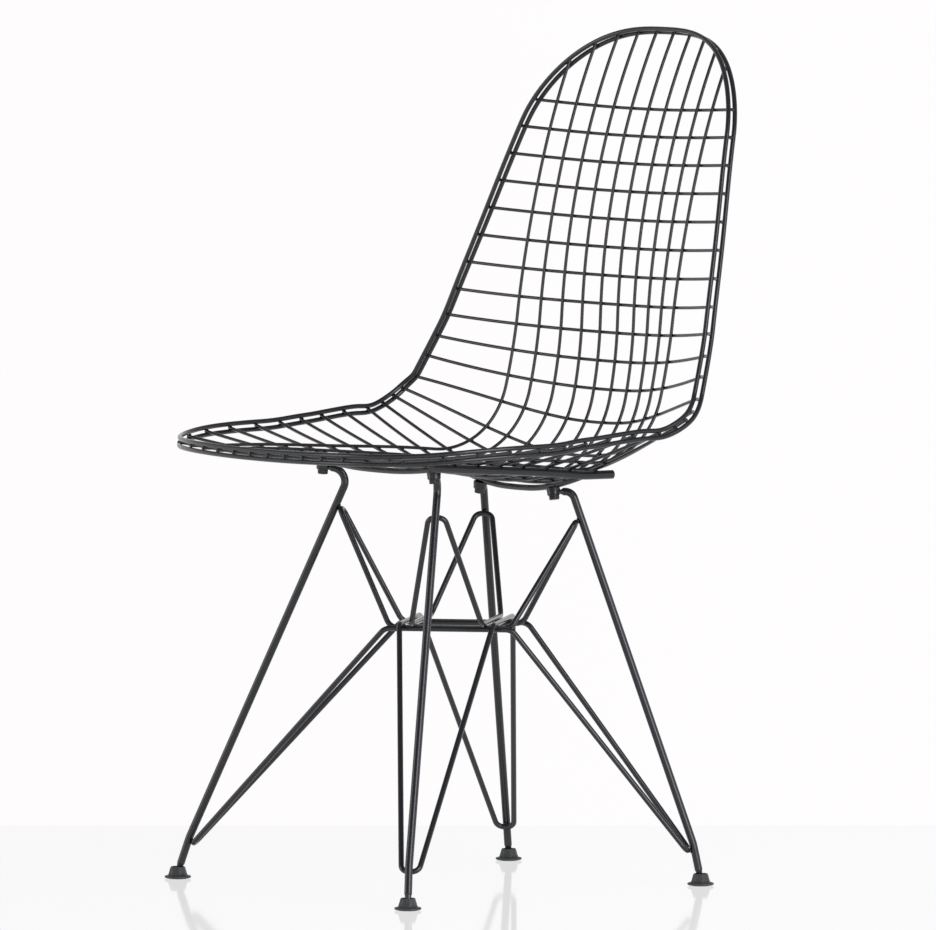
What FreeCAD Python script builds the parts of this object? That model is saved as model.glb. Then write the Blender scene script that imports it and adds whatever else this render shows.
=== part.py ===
import FreeCAD, Part
import math
import os

# A wire mesh chair: one dished shell of crossed wires between two edge rims, a small frame
# under the seat, four leaning legs, four wire braces and four ball jointed glides.
# X is across the chair with the sitter's left positive, the front is toward -Y, Z is up
# and the floor is at zero. All sizes are in millimetres.

# Curve of the shell down the middle, from the front edge of the seat to the top of the back.
# Each arc has a radius and the slopes in degrees at its two ends.
FRONT_EDGE_Y = -244.34
FRONT_EDGE_Z = 424.8
SEAT_RADIUS = 2605.0
BEND_RADIUS = 99.4
LUMBAR_RADIUS = 434.0
BACK_RADIUS = 692.0
SLOPE_AT_FRONT = -3.23
SLOPE_AT_BEND = -9.76
SLOPE_AT_LUMBAR = 78.00
SLOPE_AT_BACK = 88.20
SLOPE_AT_TOP = 62.65

# The dish: how far the shell rises toward its sides, most in the bend, less at the top and
# least of all at the front edge.
DISH_LEAST = 0.136
DISH_RISE = 0.278
DISH_CENTRE = 387.3
DISH_SPREAD = 181.3
DISH_FADE = 2.62
DISH_FLAT = 62.8
DISH_AT_FRONT = 0.038
DISH_FRONT_REACH = 79.0

# Outline of the shell seen square on: rounded front, long tapering sides and an arched top.
FRONT_HALF_WIDTH = 238.1
FRONT_DEPTH = 194.9
FRONT_SQUARENESS = 3.17
SIDE_HALF_WIDTH = 245.2
SIDE_EASE = 78.0
TAPER = 0.2474
TAPER_START = 411.7
TAPER_SOFTNESS = 36.0
ARCH_START = 710.7
ARCH_HEIGHT = 105.4
ARCH_SQUARENESS = 2.71

# Wires and rods.
WIRE = 3.2
RIM = 4.6
BRACE = 5.4
LEG = 7.6
RAIL = 8.5
CROSS_BAR = 6.0
WELD_SINK = 0.2
WIRE_OVERHANG = 1.6

# Wires that run from front to top, and the three bands of wires that run across.
LENGTHWISE_PITCH = 28.56
LENGTHWISE_PER_SIDE = 5
SEAT_ROW_START = 35.7
SEAT_ROW_PITCH = 27.69
SEAT_ROWS = 9
BEND_ROW_START = 284.4
BEND_ROW_PITCH = 34.64
BEND_ROWS = 5
FOURTH_BEND_ROW_SHIFT = -5.0
BACK_ROW_START = 456.2
BACK_ROW_PITCH = 27.87
BACK_ROWS = 11

# The cross wires sweep toward the top where they near the rim.
SWEEP_IN_BEND = 22.4
SWEEP_CENTRE = 404.8
SWEEP_SPREAD = 107.3
SWEEP_IN_SEAT = 11.6
SWEEP_SEAT_CENTRE = 161.8
SWEEP_SEAT_SPREAD = 56.9
SWEEP_CURL = 2.39

# Under the seat: two rails, two cross bars between them, four pads and four bolts.
RAIL_X = 116.0
RAIL_FRONT = 122.0
RAIL_LEAVES_SHELL = 308.0
RAIL_REAR = 337.5
FRONT_BAR_AT = 140.9
REAR_BAR_AT = 307.6
BAR_GAP = 0.3
BAR_INTO_RAIL = 1.5
FRONT_BOLT_X = 92.5
REAR_BOLT_X = 60.2
PAD_DIAMETER = 13.6
PAD_THICKNESS = 2.8
PAD_SINK = 0.4
BOLT_THREAD = 5.0
BOLT_REACH = 2.2
BOLT_HEAD_WIDTH = 10.0
BOLT_HEAD_HEIGHT = 5.0

# Legs: x and y of the left legs' middle lines at the ball, at the ankle, where the leg turns
# more upright, and at the top of the straight run.
FRONT_BALL = (194.7, -206.68)
REAR_BALL = (159.8, 166.22)
ANKLE_HEIGHT = 40.8
FRONT_ANKLE = (185.7, -199.08)
REAR_ANKLE = (155.6, 160.42)
TOP_HEIGHT = 348.8
FRONT_TOP = (89.65, -101.41)
REAR_TOP = (82.13, 82.52)
ANKLE_RADIUS = 60.0
FRONT_HOOK_RADIUS = 13.5
REAR_HOOK_RADIUS = 9.5
EYE_THICKNESS = 3.5
EYE_DIAMETER = 13.0
EYE_HOLE = 5.4
FLATTENING_LENGTH = 3.5
LEG_FOOT_TAPER = 1.2

# Braces: each is one closed loop of wire with a narrow turn on a front leg, two level bars
# in the middle and a narrow turn on the opposite rear leg.
BRACE_CENTRE_Y = -11.28
BRACE_ANGLE = 44.56
UPPER_FRONT_TURN_Z = 364.0
UPPER_REAR_TURN_Z = 352.8
LOWER_FRONT_TURN_Z = 35.4
LOWER_REAR_TURN_Z = 34.4
UPPER_BAR_OFFSET = 34.6
LOWER_BAR_OFFSET = 45.9
UPPER_BAR_HALF = 59.3
LOWER_BAR_HALF = 62.4
BAR_LEVEL = 251.4
UPPER_TURN_HALF_WIDTH = 7.9
LOWER_TURN_HALF_WIDTH = 8.4
TURN_RADIUS = 8.0
BAR_CORNER_RADIUS = 12.0
UPPER_LOOP = (UPPER_FRONT_TURN_Z, UPPER_REAR_TURN_Z, UPPER_TURN_HALF_WIDTH, UPPER_BAR_OFFSET, UPPER_BAR_HALF)
LOWER_LOOP = (LOWER_FRONT_TURN_Z, LOWER_REAR_TURN_Z, LOWER_TURN_HALF_WIDTH, LOWER_BAR_OFFSET, LOWER_BAR_HALF)

# Glides: a socket that snaps over a ball on the foot of the leg, with a thin sole below.
BALL = 8.4
BALL_HEIGHT = 6.4
BALL_CLEARANCE = 0.15
NECK_AT_BALL = 4.4
NECK_AT_FOOT = 6.7
NECK_LENGTH = 8.2
SHANK = 4.0
SHANK_LENGTH = 12.0
FLANGE_DIAMETER = 26.0
FLANGE_TOP = 3.1
SOCKET_BOTTOM = 0.5
DOME_BASE = 19.2
DOME_TOP = 14.9
SOCKET_TOP = 11.9
WAIST_HEIGHT = 2.0
WAIST_RADIUS = 3.9
MOUTH_RADIUS = 6.1
SOLE_DIAMETER = 18.0
SOLE_THICKNESS = 1.2
EDGE_BREAK = 0.6

SMALL_STEP = 0.001
SHORT_RUN = 0.5

Vector = FreeCAD.Vector
UP = Vector(0, 0, 1)
MIDDLE_PLANE = Vector(1, 0, 0)


def profile(distance):
    """Point (y, z) and slope of the middle line at a distance from the front edge."""
    arcs = (
        (SEAT_RADIUS, SLOPE_AT_FRONT, SLOPE_AT_BEND),
        (BEND_RADIUS, SLOPE_AT_BEND, SLOPE_AT_LUMBAR),
        (LUMBAR_RADIUS, SLOPE_AT_LUMBAR, SLOPE_AT_BACK),
        (BACK_RADIUS, SLOPE_AT_BACK, SLOPE_AT_TOP),
    )
    y, z = FRONT_EDGE_Y, FRONT_EDGE_Z
    slope = math.radians(SLOPE_AT_FRONT)
    left = distance
    if left > 0:
        for radius, first, last in arcs:
            first, last = math.radians(first), math.radians(last)
            side = 1 if last > first else -1
            used = min(left, radius * abs(last - first))
            slope = first + side * used / radius
            y += side * radius * (math.sin(slope) - math.sin(first))
            z -= side * radius * (math.cos(slope) - math.cos(first))
            left -= used
            if left <= 0:
                break
    if left:
        y += left * math.cos(slope)
        z += left * math.sin(slope)
    return y, z, slope


def dish(x, distance):
    """Rise of the shell above its middle line, and how steep that rise is across."""
    away = abs((distance - DISH_CENTRE) / DISH_SPREAD)
    strength = DISH_LEAST + DISH_RISE * math.exp(-away ** DISH_FADE)
    strength -= (DISH_LEAST - DISH_AT_FRONT) * math.exp(-(distance / DISH_FRONT_REACH) ** 2)
    reach = abs(x) / DISH_FLAT
    rise = strength * DISH_FLAT * (reach - math.atan(reach))
    steepness = strength * reach * reach / (1 + reach * reach)
    return rise, math.copysign(steepness, x)


def shell_point(x, distance, offset=0.0):
    """Point of the shell, set off toward the sitter; x stays as given."""
    y, z, slope = profile(distance)
    rise, steepness = dish(x, distance)
    lift = rise + offset * math.sqrt(1 + steepness * steepness)
    return Vector(x, y - math.sin(slope) * lift, z + math.cos(slope) * lift)


def half_width(distance):
    """Half the width of the outline at a distance from the front edge."""
    ease = (SIDE_HALF_WIDTH - FRONT_HALF_WIDTH) * math.exp(-((distance - FRONT_DEPTH) / SIDE_EASE) ** 2)
    beyond = distance - TAPER_START
    side = SIDE_HALF_WIDTH - ease - TAPER * (beyond + math.hypot(beyond, TAPER_SOFTNESS)) / 2
    if distance < FRONT_DEPTH:
        share = min(1.0, (FRONT_DEPTH - distance) / FRONT_DEPTH)
        return FRONT_HALF_WIDTH * (1 - share ** FRONT_SQUARENESS) ** (1 / FRONT_SQUARENESS)
    if distance > ARCH_START:
        share = min(1.0, (distance - ARCH_START) / ARCH_HEIGHT)
        return side * math.sqrt(1 - share * share) ** (2 / ARCH_SQUARENESS)
    return side


def outline_point(turn):
    """Outline (x, distance) for a turn from 0 at the front middle to 3 at the top middle."""
    if turn < 1:
        angle = turn * math.pi / 2
        across = math.copysign(abs(math.sin(angle)) ** (2 / FRONT_SQUARENESS), angle)
        along = abs(math.cos(angle)) ** (2 / FRONT_SQUARENESS)
        return FRONT_HALF_WIDTH * across, FRONT_DEPTH * (1 - along)
    if turn < 2:
        distance = FRONT_DEPTH + (turn - 1) * (ARCH_START - FRONT_DEPTH)
        return half_width(distance), distance
    angle = (turn - 2) * math.pi / 2
    distance = ARCH_START + ARCH_HEIGHT * math.sin(angle)
    across = abs(math.cos(angle)) ** (2 / ARCH_SQUARENESS)
    beyond = distance - TAPER_START
    side = SIDE_HALF_WIDTH - TAPER * (beyond + math.hypot(beyond, TAPER_SOFTNESS)) / 2
    return math.copysign(side * across, math.cos(angle)), distance


def where_outline_is(x, low, high):
    """Distance at which the outline is as wide as x, between two distances."""
    rising = half_width(high) > half_width(low)
    for _ in range(60):
        middle = (low + high) / 2
        if (half_width(middle) < x) == rising:
            low = middle
        else:
            high = middle
    return (low + high) / 2


def arc_edge(start, heading, end):
    """Arc from start to end that leaves along heading, or a line where it is straight."""
    chord = end - start
    length = chord.Length
    bend = heading.getAngle(chord)
    if bend < 1e-5:
        return Part.LineSegment(start, end).toShape()
    aside = heading - chord * (heading.dot(chord) / (length * length))
    aside.normalize()
    middle = (start + end) * 0.5 + aside * (length / 2 * math.tan(bend / 2))
    return Part.Arc(start, middle, end).toShape()


def smooth_edges(points, headings):
    """Pairs of arcs that pass through the points along the headings."""
    edges = []
    for i in range(len(points) - 1):
        start, end = points[i], points[i + 1]
        leave, arrive = headings[i], headings[i + 1]
        gap = end - start
        spread = 2 * (1 - leave.dot(arrive))
        along = 2 * gap.dot(leave + arrive)
        square = gap.dot(gap)
        if spread < 1e-9:
            reach = square / along
        else:
            reach = (math.sqrt(along * along + 4 * spread * square) - along) / (2 * spread)
        joint = ((start + leave * reach) + (end - arrive * reach)) * 0.5
        edges.append(arc_edge(start, leave, joint))
        edges.append(arc_edge(end, arrive * -1, joint))
    return edges


def corner_edges(points, radii):
    """Straight runs between the points with a rounded corner at each inner one."""
    edges = []
    start = points[0]
    for i in range(1, len(points) - 1):
        corner = points[i]
        back = (points[i - 1] - corner).normalize()
        ahead = (points[i + 1] - corner).normalize()
        half_turn = (math.pi - back.getAngle(ahead)) / 2
        trim = radii[i - 1] * math.tan(half_turn)
        first = corner + back * trim
        last = corner + ahead * trim
        if (first - start).Length > SMALL_STEP:
            edges.append(Part.LineSegment(start, first).toShape())
        edges.append(arc_edge(first, back * -1, last))
        start = last
    edges.append(Part.LineSegment(start, points[-1]).toShape())
    return edges


def round_rod(edges, heading, diameter):
    """Round rod swept along joined edges."""
    path = Part.Wire(Part.__sortEdges__(edges))
    start = edges[0].valueAt(edges[0].FirstParameter)
    other = edges[0].valueAt(edges[0].LastParameter)
    near = min((vertex.Point for vertex in path.Vertexes), key=lambda point: (point - start).Length)
    if heading.dot(other - start) < 0:
        near = other
    section = Part.Wire(Part.Circle(near, heading, diameter / 2).toShape())
    return path.makePipeShell([section], True, False)


def headings_of(curve, places):
    """Unit headings of a curve at the given places."""
    result = []
    for place in places:
        step = curve(place + SMALL_STEP) - curve(place - SMALL_STEP)
        result.append(step.normalize())
    return result


def rod_along(curve, places, diameter):
    """Round rod that follows a curve through the given places."""
    points = [curve(place) for place in places]
    headings = headings_of(curve, places)
    return round_rod(smooth_edges(points, headings), headings[0], diameter)


def both_sides(half):
    """A half joined to its mirror image across the middle of the chair."""
    return half.fuse(half.mirror(Vector(0, 0, 0), MIDDLE_PLANE)).removeSplitter()


def save(shape, name):
    shape.exportStep("parts/" + name + ".step")


def steps(first, last, count):
    return [first + (last - first) * i / count for i in range(count + 1)]


def lengthwise_wire(x):
    """Wire of the sitter's side that runs from the front rim to the top rim."""
    front = where_outline_is(abs(x), 0, FRONT_DEPTH) - WIRE_OVERHANG
    top = where_outline_is(abs(x), ARCH_START, ARCH_START + ARCH_HEIGHT) + WIRE_OVERHANG
    bend = SEAT_RADIUS * math.radians(SLOPE_AT_FRONT - SLOPE_AT_BEND)
    lumbar = bend + BEND_RADIUS * math.radians(SLOPE_AT_LUMBAR - SLOPE_AT_BEND)
    back = lumbar + LUMBAR_RADIUS * math.radians(SLOPE_AT_BACK - SLOPE_AT_LUMBAR)
    places = steps(front, bend, 4)[:-1] + steps(bend, lumbar, 4)[:-1]
    places += steps(lumbar, back, 2)[:-1] + steps(back, top, 4)
    offset = (WIRE - WELD_SINK) / 2
    return rod_along(lambda distance: shell_point(x, distance, offset), places, WIRE)


def sweep_at(row):
    """How far a cross wire has moved toward the top where it meets the rim."""
    away = (row - SWEEP_CENTRE) / SWEEP_SPREAD
    in_bend = SWEEP_IN_BEND / (1 + away * away) ** 1.5
    in_seat = SWEEP_IN_SEAT * math.exp(-((row - SWEEP_SEAT_CENTRE) / SWEEP_SEAT_SPREAD) ** 2)
    return in_bend + in_seat


def cross_wire(row):
    """Wire behind the lengthwise ones that runs from side rim to side rim."""
    sweep = sweep_at(row)
    edge = half_width(row + sweep)
    end = edge + WIRE_OVERHANG
    offset = -(WIRE - WELD_SINK) / 2

    def curve(x):
        return shell_point(x, row + sweep * (abs(x) / edge) ** SWEEP_CURL, offset)

    half = steps(0, end, 4)
    places = [-x for x in reversed(half[1:])] + half
    return rod_along(curve, places, WIRE)


def rim_curve(offset):
    """Curve of an edge rim whose middle lies off the wire ends by offset."""
    wire_offset = (WIRE - WELD_SINK) / 2

    def curve(turn):
        before = outline_point(turn - SMALL_STEP)
        after = outline_point(turn + SMALL_STEP)
        x, distance = outline_point(turn)
        across, along = after[0] - before[0], after[1] - before[1]
        lean = (across * across - along * along) / (across * across + along * along)
        y, z, slope = profile(distance)
        rise, steepness = dish(x, distance)
        set_off = (wire_offset * lean + offset) / math.sqrt(1 + steepness * steepness)
        lift = rise + set_off
        return Vector(x - steepness * set_off, y - math.sin(slope) * lift, z + math.cos(slope) * lift)

    return curve


def rim(offset):
    """Closed rim: one half along the outline and its mirror image."""
    places = steps(0, 1, 9)[:-1] + steps(1, 2, 14)[:-1] + steps(2, 3, 9)
    return both_sides(rod_along(rim_curve(offset), places, RIM))


def bar_offset():
    return -(WIRE - WELD_SINK / 2 + BAR_GAP + CROSS_BAR / 2)


def rail(side):
    """Lengthwise rail welded under the cross wires; its rear end runs straight on."""
    offset = -(WIRE - 1.5 * WELD_SINK + RAIL / 2)

    def curve(distance):
        held = min(distance, RAIL_LEAVES_SHELL)
        point = shell_point(side * RAIL_X, held, offset)
        heading = (point - shell_point(side * RAIL_X, held - SMALL_STEP, offset)).normalize()
        return point + heading * (distance - held)

    return rod_along(curve, steps(RAIL_FRONT, RAIL_LEAVES_SHELL, 6) + [RAIL_REAR], RAIL)


def cross_bar(distance):
    """Bar between the rails that follows the dish."""
    end = RAIL_X - RAIL / 2 + BAR_INTO_RAIL
    places = steps(-end, end, 6)
    return rod_along(lambda x: shell_point(x, distance, bar_offset()), places, CROSS_BAR)


FRONT_LEG = (FRONT_BALL, FRONT_ANKLE, FRONT_TOP)
REAR_LEG = (REAR_BALL, REAR_ANKLE, REAR_TOP)


class Mount:
    """Where a leg is bolted below a cross bar, and the line of the leg."""

    def __init__(self, side, front):
        self.side = side
        x = side * (FRONT_BOLT_X if front else REAR_BOLT_X)
        distance = FRONT_BAR_AT if front else REAR_BAR_AT
        steepness = dish(x, distance)[1]
        self.axis = Vector(-steepness, 0, 1).normalize()
        bar = shell_point(x, distance, bar_offset())
        self.pad_top = bar - self.axis * (CROSS_BAR / 2 - PAD_SINK)
        self.eye_top = self.pad_top - self.axis * PAD_THICKNESS
        self.eye = self.eye_top - self.axis * (EYE_THICKNESS / 2)
        at_ball, at_ankle, at_top = FRONT_LEG if front else REAR_LEG
        self.ball = Vector(side * at_ball[0], at_ball[1], BALL_HEIGHT)
        self.ankle = Vector(side * at_ankle[0], at_ankle[1], ANKLE_HEIGHT)
        top = Vector(side * at_top[0], at_top[1], TOP_HEIGHT)
        self.foot_rise = (self.ankle - self.ball).normalize()
        self.rise = (top - self.ankle).normalize()
        self.hook_radius = FRONT_HOOK_RADIUS if front else REAR_HOOK_RADIUS
        up_to_eye = (self.eye - top).dot(self.axis) / self.rise.dot(self.axis)
        self.corner = top + self.rise * up_to_eye
        self.run = (self.eye - self.corner).normalize()
        outward = self.ankle - top
        self.outward = Vector(outward.x, outward.y, 0).normalize()

    def inner_side(self, height, inset):
        """Point at a height that lies inset from the leg's middle line, toward the chair's middle."""
        start, rise = (self.ankle, self.rise) if height > ANKLE_HEIGHT else (self.ball, self.foot_rise)
        point = start + rise * ((height - start.z) / rise.z)
        return point - self.outward * (inset / rise.z)


def disc(centre, axis, diameter, thickness):
    return Part.makeCylinder(diameter / 2, thickness, centre, axis)


def leg(mount):
    """Round rod from the foot to a hook whose end is flattened into an eye."""
    foot_start = mount.ball + mount.foot_rise * NECK_LENGTH
    foot = foot_start + mount.foot_rise * LEG_FOOT_TAPER
    half_turn = mount.rise.getAngle(mount.run) / 2
    trim = mount.hook_radius * math.tan(half_turn)
    bend_end = mount.corner + mount.run * (trim + SHORT_RUN)
    edges = corner_edges([foot, mount.ankle, mount.corner, bend_end], [ANKLE_RADIUS, mount.hook_radius])
    rod = round_rod(edges, mount.foot_rise, LEG)
    taper = Part.makeCone(NECK_AT_FOOT / 2, LEG / 2, LEG_FOOT_TAPER, foot_start, mount.foot_rise)
    across = mount.axis.cross(mount.run)
    round_circle = Part.Circle(bend_end, mount.run, LEG / 2)
    round_circle.XAxis = across
    round_end = Part.Wire(round_circle.toShape())
    flat_start = bend_end + mount.run * FLATTENING_LENGTH
    plate_width = EYE_DIAMETER - 2
    wide = flat_start + across * (plate_width / 2)
    thin = flat_start + mount.axis * (EYE_THICKNESS / 2)
    flat_section = Part.Wire(Part.Ellipse(wide, thin, flat_start).toShape())
    flattening = Part.makeLoft([round_end, flat_section], True)
    bottom = mount.eye - mount.axis * (EYE_THICKNESS / 2)
    eye = disc(bottom, mount.axis, EYE_DIAMETER, EYE_THICKNESS)
    length = (mount.eye - flat_start).Length
    start = flat_start - mount.axis * (EYE_THICKNESS / 2) - across * (plate_width / 2)
    strip = Part.makePolygon([
        start,
        start + mount.run * length,
        start + mount.run * length + across * plate_width,
        start + across * plate_width,
        start,
    ])
    plate = Part.Face(strip).extrude(mount.axis * EYE_THICKNESS)
    hole = disc(bottom - mount.axis, mount.axis, EYE_HOLE, EYE_THICKNESS + 2)
    bore = disc(foot_start, mount.foot_rise, SHANK, SHANK_LENGTH)
    return rod.fuse([taper, flattening, plate, eye]).removeSplitter().cut([hole, bore])


def ball_stud(mount):
    """Ball, neck and the shank that is pressed into the foot of the leg."""
    ball = Part.makeSphere(BALL / 2, mount.ball)
    neck = Part.makeCone(NECK_AT_BALL / 2, NECK_AT_FOOT / 2, NECK_LENGTH, mount.ball, mount.foot_rise)
    shank_start = mount.ball + mount.foot_rise * NECK_LENGTH
    shank = disc(shank_start, mount.foot_rise, SHANK, SHANK_LENGTH)
    return ball.fuse([neck, shank])


def pad(mount):
    """Round pad welded below the cross bar, with a hole for the bolt."""
    bottom = mount.pad_top - mount.axis * PAD_THICKNESS
    whole = disc(bottom, mount.axis, PAD_DIAMETER, PAD_THICKNESS)
    return whole.cut(disc(bottom, mount.axis, BOLT_THREAD, BOLT_REACH))


def bolt(mount):
    """Hexagon bolt that holds the eye against the pad from below."""
    seat = mount.eye - mount.axis * (EYE_THICKNESS / 2)
    under = seat - mount.axis * BOLT_HEAD_HEIGHT
    aside = mount.axis.cross(Vector(0, 1, 0)).normalize()
    ahead = mount.axis.cross(aside)
    radius = BOLT_HEAD_WIDTH / math.sqrt(3)
    corners = []
    for i in range(7):
        turn = math.radians(60 * i)
        corners.append(under + aside * (radius * math.cos(turn)) + ahead * (radius * math.sin(turn)))
    head = Part.Face(Part.makePolygon(corners)).extrude(mount.axis * BOLT_HEAD_HEIGHT)
    thread = disc(seat, mount.axis, BOLT_THREAD, EYE_THICKNESS + BOLT_REACH)
    return head.fuse(thread)


def brace(front_mount, rear_mount, loop, level):
    """Closed loop between two opposite legs, with two level bars in the middle."""
    front_height, rear_height, turn_half_width, bar_offset_aside, bar_half = loop
    angle = math.radians(BRACE_ANGLE)
    forward = Vector(front_mount.side * math.cos(angle), -math.sin(angle), 0)
    centre = Vector(0, BRACE_CENTRE_Y, level)
    inset = (LEG + BRACE) / 2 - WELD_SINK
    front_turn = front_mount.inner_side(front_height, inset)
    rear_turn = rear_mount.inner_side(rear_height, inset)
    front_aside = UP.cross(front_mount.outward)
    rear_aside = rear_mount.outward.cross(UP)
    bar_aside = UP.cross(forward)
    halves = []
    for side in (1, -1):
        bar = centre + bar_aside * (side * bar_offset_aside)
        points = [
            front_turn,
            front_turn + front_aside * (side * turn_half_width),
            bar + forward * bar_half,
            bar - forward * bar_half,
            rear_turn + rear_aside * (side * turn_half_width),
            rear_turn,
        ]
        radii = [TURN_RADIUS, BAR_CORNER_RADIUS, BAR_CORNER_RADIUS, TURN_RADIUS]
        halves.append(round_rod(corner_edges(points, radii), front_aside * side, BRACE))
    return halves[0].fuse(halves[1]).removeSplitter()


def socket(centre):
    """Dome with a flange below, a ball cavity inside and a flared mouth."""
    flange = FLANGE_DIAMETER / 2
    points = [
        (0, SOCKET_BOTTOM),
        (flange - EDGE_BREAK, SOCKET_BOTTOM),
        (flange, SOCKET_BOTTOM + EDGE_BREAK),
        (flange, FLANGE_TOP - EDGE_BREAK),
        (flange - EDGE_BREAK, FLANGE_TOP),
        (DOME_BASE / 2 + EDGE_BREAK, FLANGE_TOP),
        (DOME_BASE / 2, FLANGE_TOP + EDGE_BREAK),
        (DOME_TOP / 2, SOCKET_TOP - EDGE_BREAK / 2),
        (DOME_TOP / 2 - EDGE_BREAK / 2, SOCKET_TOP),
        (0, SOCKET_TOP),
        (0, SOCKET_BOTTOM),
    ]
    outline = Part.makePolygon([Vector(radius, 0, height) for radius, height in points])
    body = Part.Face(outline).revolve(Vector(0, 0, 0), UP, 360)
    middle = Vector(0, 0, BALL_HEIGHT)
    cavity = Part.makeSphere(BALL / 2 + BALL_CLEARANCE, middle)
    mouth_height = SOCKET_TOP - BALL_HEIGHT - WAIST_HEIGHT
    mouth = Part.makeCone(WAIST_RADIUS, MOUTH_RADIUS, mouth_height, middle + UP * WAIST_HEIGHT, UP)
    recess = Part.makeCylinder(SOLE_DIAMETER / 2, SOLE_THICKNESS - SOCKET_BOTTOM, UP * SOCKET_BOTTOM, UP)
    body = body.cut([cavity, mouth, recess])
    body.translate(Vector(centre.x, centre.y, 0))
    return body


def sole(centre):
    return Part.makeCylinder(SOLE_DIAMETER / 2, SOLE_THICKNESS, Vector(centre.x, centre.y, 0), UP)


os.makedirs("parts", exist_ok=True)

# Wires that run lengthwise, counted from the sitter's right to the sitter's left.
for i in range(2 * LENGTHWISE_PER_SIDE):
    across = (i - LENGTHWISE_PER_SIDE + 0.5) * LENGTHWISE_PITCH
    save(lengthwise_wire(across), "lengthwise_wire_%02d" % (i + 1))

# Wires that run across, counted from the front edge to the top.
rows = [SEAT_ROW_START + SEAT_ROW_PITCH * i for i in range(SEAT_ROWS)]
rows += [BEND_ROW_START + BEND_ROW_PITCH * i for i in range(BEND_ROWS)]
rows[-2] += FOURTH_BEND_ROW_SHIFT
rows += [BACK_ROW_START + BACK_ROW_PITCH * i for i in range(BACK_ROWS)]
for i, row in enumerate(rows):
    save(cross_wire(row), "cross_wire_%02d" % (i + 1))

# The two rims hold the wire ends between them.
rim_distance = (RIM + WIRE - WELD_SINK) / 2
save(rim(rim_distance), "inner_rim")
save(rim(-rim_distance), "outer_rim")

# Frame under the seat.
save(rail(1), "left_seat_rail")
save(rail(-1), "right_seat_rail")
save(cross_bar(FRONT_BAR_AT), "front_cross_bar")
save(cross_bar(REAR_BAR_AT), "rear_cross_bar")

# Legs with their pads, bolts, ball studs and glides.
mounts = {
    "front_left": Mount(1, True),
    "front_right": Mount(-1, True),
    "rear_left": Mount(1, False),
    "rear_right": Mount(-1, False),
}
for name, mount in mounts.items():
    save(leg(mount), name + "_leg")
    save(socket(mount.ball), name + "_glide_socket")
    save(sole(mount.ball), name + "_glide_sole")
save(Part.makeCompound([pad(mount) for mount in mounts.values()]), "mounting_pads")
save(Part.makeCompound([bolt(mount) for mount in mounts.values()]), "leg_bolts")
save(Part.makeCompound([ball_stud(mount) for mount in mounts.values()]), "ball_studs")

# Braces on both diagonals; the second pair of bars rests on the first.
crossing = BRACE - WELD_SINK
for name, start, end, level in (
    ("right_diagonal", "front_right", "rear_left", BAR_LEVEL),
    ("left_diagonal", "front_left", "rear_right", BAR_LEVEL + crossing),
):
    save(brace(mounts[start], mounts[end], UPPER_LOOP, level), name + "_upper_brace")
    save(brace(mounts[start], mounts[end], LOWER_LOOP, level), name + "_lower_brace")
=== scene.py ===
import itertools
import math

import bmesh
import bpy
import numpy as np
from mathutils import Matrix, Vector
from mathutils.bvhtree import BVHTree


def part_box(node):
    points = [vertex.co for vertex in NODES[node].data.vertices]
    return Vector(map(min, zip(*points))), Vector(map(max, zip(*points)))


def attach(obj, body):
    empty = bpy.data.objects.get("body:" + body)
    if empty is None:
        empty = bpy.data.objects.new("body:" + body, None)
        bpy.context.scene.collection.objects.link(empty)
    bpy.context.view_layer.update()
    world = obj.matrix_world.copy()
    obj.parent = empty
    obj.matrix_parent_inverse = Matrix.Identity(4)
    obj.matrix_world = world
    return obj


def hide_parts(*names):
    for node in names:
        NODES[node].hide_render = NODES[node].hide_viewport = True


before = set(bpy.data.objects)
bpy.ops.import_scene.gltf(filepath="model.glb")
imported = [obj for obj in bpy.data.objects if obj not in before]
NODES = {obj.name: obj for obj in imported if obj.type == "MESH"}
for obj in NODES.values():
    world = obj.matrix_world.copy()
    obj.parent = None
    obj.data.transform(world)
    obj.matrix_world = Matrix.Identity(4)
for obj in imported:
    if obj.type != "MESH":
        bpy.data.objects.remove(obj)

bl_info = {
    "name": "Wire mesh chair",
    "version": (1, 0, 0),
    "blender": (4, 5, 0),
    "location": "3D View > Sidebar > Chair",
    "description": "Finishes a wire mesh chair: powder coat, welds, bolts, glides and a studio",
    "category": "Object",
}

CORNERS = ("front_left", "front_right", "rear_left", "rear_right")
LENGTHWISE = sorted(name for name in NODES if name.startswith("lengthwise_wire"))
CROSS = sorted(name for name in NODES if name.startswith("cross_wire"))
BRACES = sorted(name for name in NODES if name.endswith("_brace"))
RIMS = ("inner_rim", "outer_rim")
RAILS = ("left_seat_rail", "right_seat_rail")
BARS = ("front_cross_bar", "rear_cross_bar")
LEGS = tuple(corner + "_leg" for corner in CORNERS)

# Where the camera stands and what it looks at, in metres.
EYE = Vector((10.44554, -7.45060, 1.24137))
AIM = Vector((0.12697, -0.08794, 0.41733))

# Floor and backdrop, in metres.
FLOOR_REACH = 40.0
SHEET_DROP = 0.0006
BACKDROP_RADIUS = 39.0
BACKDROP_HEIGHT = 16.0
BACKDROP_SIDES = 96

# Welds, in metres: how far in from a wire's tip its weld sits, and how near touching pieces lie.
END_WELD_INSET = 0.0015
WIRE_REACH = 0.004
ROD_REACH = 0.0006
SAMPLE_STEP = 0.002
TIP_POINTS = 24
NEAR_TIP_POINTS = 96
FRONT_TO_TOP = np.array((0.0, 0.55, 0.85))

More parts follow.
